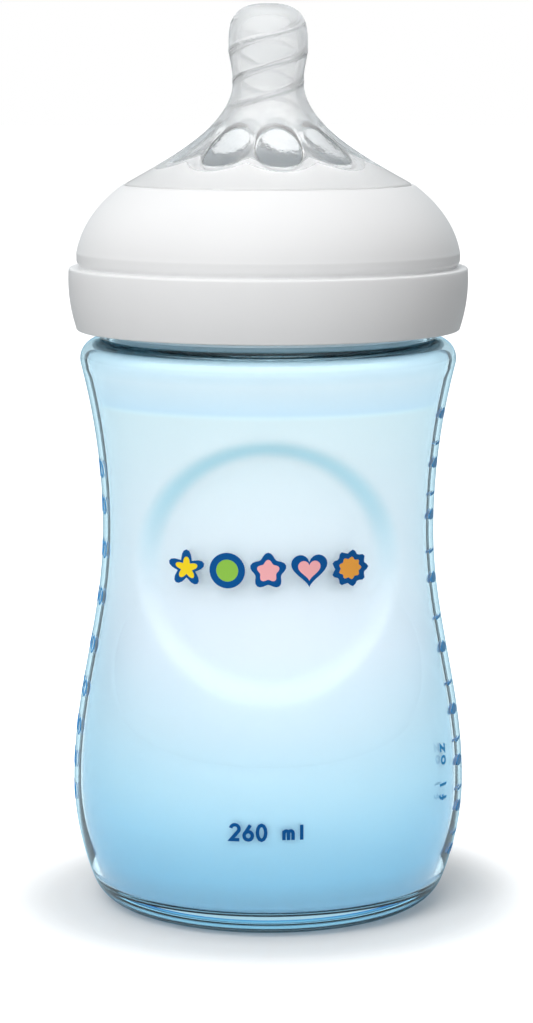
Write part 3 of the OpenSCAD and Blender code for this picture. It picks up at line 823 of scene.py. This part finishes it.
class BOTTLE_OT_stage(bpy.types.Operator):
    """Set the floor, the lights, the backdrop and the camera"""
    bl_idname = "baby_bottle.stage"
    bl_label = "Stage"

    def execute(self, context):
        scene = context.scene
        stage = scene.bottle_stage
        floor_radius, floor_drop = 6.0, 0.1 * MM
        floor_mesh = bpy.data.meshes.new("floor")
        bm = bmesh.new()
        bmesh.ops.create_circle(bm, cap_ends=True, segments=64, radius=floor_radius)
        bm.to_mesh(floor_mesh)
        bm.free()
        floor = bpy.data.objects.new("floor", floor_mesh)
        floor.location.z = -floor_drop
        floor_mesh.materials.append(self.paper(stage))
        scene.collection.objects.link(floor)
        self.world(scene)
        for side in (-1, 1):
            self.flag(scene, side)
        self.lamp(scene, "key", place=(-0.35, -1.0, 0.9), power=12.0, aim=(0, 0, 0.1))
        self.lamp(scene, "top", place=(0.0, 0.05, 1.1), power=3.0, aim=(0, 0, 0.05))
        camera = bpy.data.objects.new("camera", bpy.data.cameras.new("camera"))
        camera.data.lens = stage.lens
        camera.data.sensor_width = 36.0
        camera.location = (-stage.side, -stage.distance, stage.height)
        camera.rotation_euler = (math.pi / 2 - stage.tilt, 0, 0)
        scene.collection.objects.link(camera)
        scene.camera = camera
        scene.view_settings.view_transform = "Standard"
        scene.view_settings.look = "None"
        return {"FINISHED"}

    def lamp(self, scene, name, place, power, aim):
        """A square soft light that is not mirrored in the bottle and not seen through it."""
        data = bpy.data.lights.new(name, "AREA")
        data.shape = "SQUARE"
        data.size = 0.8
        data.energy = power
        lamp = bpy.data.objects.new(name, data)
        lamp.location = place
        lamp.rotation_euler = (Vector(place) - Vector(aim)).to_track_quat("Z", "Y").to_euler()
        lamp.visible_glossy = lamp.visible_transmission = False
        scene.collection.objects.link(lamp)

    def paper(self, stage):
        """Pale paper, a little brighter than the light on it, so that it runs into the backdrop; its glow
        is weak round the bottle's foot, which paints shadow there.
        """
        material, nodes, links, shader = finish_material("floor_paper", tuple(stage.backdrop), 0.7)
        tree = material.node_tree
        path = nodes.new("ShaderNodeLightPath")
        dull = Field(tree, path.outputs["Is Diffuse Ray"])
        gloss = Field(tree, path.outputs["Is Glossy Ray"])
        clear = Field(tree, path.outputs["Is Transmission Ray"])
        eye = -dull - gloss + 1.0
        plain = blend(nodes, links, gloss.socket, stage.sheen, shader.inputs["Base Color"])
        links.new((dull * -stage.quiet + stage.backdrop[0]).socket, plain)
        where = nodes.new("ShaderNodeTexCoord")
        reach = nodes.new("ShaderNodeVectorMath")
        reach.operation = "LENGTH"
        links.new(where.outputs["Object"], reach.inputs[0])
        # Painted shadow: the glow for the eye stays at lift within foot_edge of the axis and rises to
        # far_glow by paper_edge, so the floor round the foot stays darker than the glowing floor further
        # out.
        foot_edge, paper_edge = 36 * MM, 62 * MM
        far = Field(tree, reach.outputs["Value"]).smooth(foot_edge, paper_edge)
        shader.inputs["Emission Color"].default_value = (1.0, 1.0, 1.0, 1.0)
        far_glow, clear_glow = 0.85, 0.75
        glow = eye * (far * (far_glow - stage.lift) + stage.lift) + clear * clear_glow
        links.new(glow.socket, shader.inputs["Emission Strength"])
        return material

    def flag(self, scene, side):
        """A dark strip behind the bottle, along the floor and up, that draws the clear walls' edges."""
        turn, half_width, foot, top = math.radians(28.0), 7 * MM, 0.6 * MM, 0.3
        start = Vector((34 * MM, 0.0))
        along = Vector((math.sin(turn), math.cos(turn)))
        across = Vector((along.y, -along.x)) * half_width
        near, back = (start + along * reach for reach in (12 * MM, 100 * MM))
        places = [(p.x, p.y, z) for spot, z in ((near, foot), (back, foot), (back, top))
                  for p in (spot - across, spot + across)]
        mesh = bpy.data.meshes.new("flag")
        mesh.from_pydata([(side * x, y, z) for x, y, z in places], [], [(0, 1, 3, 2), (2, 3, 5, 4)])
        card = bpy.data.objects.new("flag", mesh)
        material, *_ = finish_material("flag_black", (0.01, 0.02, 0.03), 0.9)
        mesh.materials.append(material)
        scene.collection.objects.link(card)
        card.visible_camera = card.visible_diffuse = False
        card.visible_glossy = card.visible_shadow = False

    def world(self, scene):
        """White to the eye, bright to what is seen through clear walls, and soft grey to the rest."""
        world = bpy.data.worlds.new("studio")
        scene.world = world
        world.use_nodes = True
        tree = world.node_tree
        nodes, links = tree.nodes, tree.links
        path = nodes.new("ShaderNodeLightPath")
        where = nodes.new("ShaderNodeTexCoord")
        split = nodes.new("ShaderNodeSeparateXYZ")
        links.new(where.outputs["Generated"], split.inputs[0])
        x, y, z = (Field(tree, split.outputs[axis]) for axis in "XYZ")
        through_low, through_rise = 1.72, 3.6
        soft_low, soft_rise, soft_side = 0.1, 0.34, 0.05
        front = (-y).smooth(0.0, 0.8) * 0.4 + 0.6
        through = z.smooth(0.0, 0.7) * front * through_rise + through_low
        soft = z.smooth(-0.6, 0.9) * soft_rise + soft_low - x * soft_side
        eye = Field(tree, path.outputs["Is Camera Ray"])
        clear = Field(tree, path.outputs["Is Transmission Ray"])
        gloss = Field(tree, path.outputs["Is Glossy Ray"])
        level = eye + (-eye + 1) * (clear * through + (-clear + 1) * soft)
        behind = gloss * y.smooth(-0.1, 0.4)
        back = nodes["Background"]
        blend(nodes, links, behind.socket, scene.bottle_stage.sheen, back.inputs["Color"], (1.0, 1.0, 1.0))
        links.new((level + behind * (-level + 1)).socket, back.inputs["Strength"])


class BOTTLE_PT_panel(bpy.types.Panel):
    """Lists the bottle's pieces and sizes"""
    bl_label = "Baby bottle"
    bl_idname = "BOTTLE_PT_panel"
    bl_space_type = "VIEW_3D"
    bl_region_type = "UI"
    bl_category = "Baby bottle"

    def draw(self, context):
        for name, operators in PANEL_ROWS:
            box = self.layout.box()
            group = getattr(context.scene, name, None)
            for operator in operators:
                box.operator(operator)
            if group:
                for key in group.__annotations__:
                    box.prop(group, key)


PANEL_ROWS = (
    ("bottle_body", ("baby_bottle.body",)),
    ("bottle_ring", ("baby_bottle.ring",)),
    ("bottle_teat", ("baby_bottle.teat",)),
    ("", ("baby_bottle.prints",)),
    ("bottle_stage", ("baby_bottle.stage",)),
)
GROUPS = {"bottle_body": BodySizes, "bottle_ring": RingSizes, "bottle_teat": TeatSizes,
          "bottle_stage": StageSizes}
CLASSES = (*GROUPS.values(), BOTTLE_OT_body, BOTTLE_OT_ring, BOTTLE_OT_teat, BOTTLE_OT_prints,
           BOTTLE_OT_stage, BOTTLE_PT_panel)


def register():
    for cls in CLASSES:
        bpy.utils.register_class(cls)
    for name, group in GROUPS.items():
        setattr(bpy.types.Scene, name, bpy.props.PointerProperty(type=group))


def unregister():
    for name in GROUPS:
        delattr(bpy.types.Scene, name)
    for cls in reversed(CLASSES):
        bpy.utils.unregister_class(cls)


def main():
    """Registers the add-on and makes every piece."""
    register()
    for _, operators in PANEL_ROWS:
        for operator in operators:
            family, name = operator.split(".")
            getattr(getattr(bpy.ops, family), name)()


if __name__ == "__main__":
    main()
